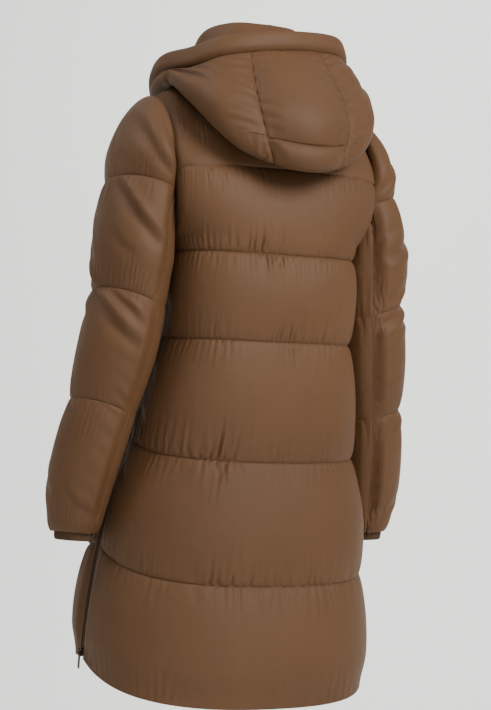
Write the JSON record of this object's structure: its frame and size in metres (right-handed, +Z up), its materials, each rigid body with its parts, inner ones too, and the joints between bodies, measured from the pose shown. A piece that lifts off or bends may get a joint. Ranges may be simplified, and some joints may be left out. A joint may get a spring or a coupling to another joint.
{
  "type": "hooded puffer coat",
  "caption": "A long hooded down coat worn and zipped, with wide stitched channels, its hood lying open on the back, zipped side vents and a hem that dips at the back.",
  "frame": {"origin": "between the shoulders, on the line through the points where the shoulder seams meet the collar", "axes": "+Z up, -Y the wearer's front, +X the wearer's left; the long way of the coat is Z"},
  "size_m": [0.6, 0.4556, 1.0316],
  "materials": {
    "shell": "smooth close-woven nylon with a soft sheen, filled with down",
    "cuff_cloth": "matt stretch rib knit",
    "zip_tape": "matt woven polyester tape with a coil",
    "zip_metal": "dark plated metal"
  },
  "bodies": {
    "coat": {"back_panel": "shell", "front_panel_left": "shell", "front_panel_right": "shell", "sleeve_outer_left": "shell", "sleeve_outer_right": "shell", "sleeve_under_left": "shell", "sleeve_under_right": "shell", "hood_brim": "shell", "hood_centre": "shell", "hood_side_left": "shell", "hood_side_right": "shell", "collar": "shell", "cuff_left": "cuff_cloth", "cuff_right": "cuff_cloth", "front_zip_tape_left": "zip_tape", "front_zip_tape_right": "zip_tape", "side_zip_left_tape_back": "zip_tape", "side_zip_left_tape_front": "zip_tape", "side_zip_right_tape_back": "zip_tape", "side_zip_right_tape_front": "zip_tape", "front_zip_slider": "zip_metal", "side_zip_left_slider": "zip_metal", "side_zip_right_slider": "zip_metal"},
    "front_zip_pull_tab": {"front_zip_pull": "zip_metal"},
    "side_zip_left_pull_tab": {"side_zip_left_pull": "zip_metal"},
    "side_zip_right_pull_tab": {"side_zip_right_pull": "zip_metal"}
  },
  "joints": [
    {"name": "front_pull_swing", "type": "hinge", "parent": "coat", "child": "front_zip_pull_tab", "pos_m": [0, -0.10409, -0.00455], "axis": [-1, 0, 0], "range_deg": [0, 150]},
    {"name": "left_pull_swing", "type": "hinge", "parent": "coat", "child": "side_zip_left_pull_tab", "pos_m": [0.22945, -0.11625, -0.86084], "axis": [0, -0.9922, 0.1248], "range_deg": [0, 150]},
    {"name": "right_pull_swing", "type": "hinge", "parent": "coat", "child": "side_zip_right_pull_tab", "pos_m": [-0.22956, -0.11702, -0.86687], "axis": [0, 0.9923, -0.1241], "range_deg": [0, 150]}
  ]
}
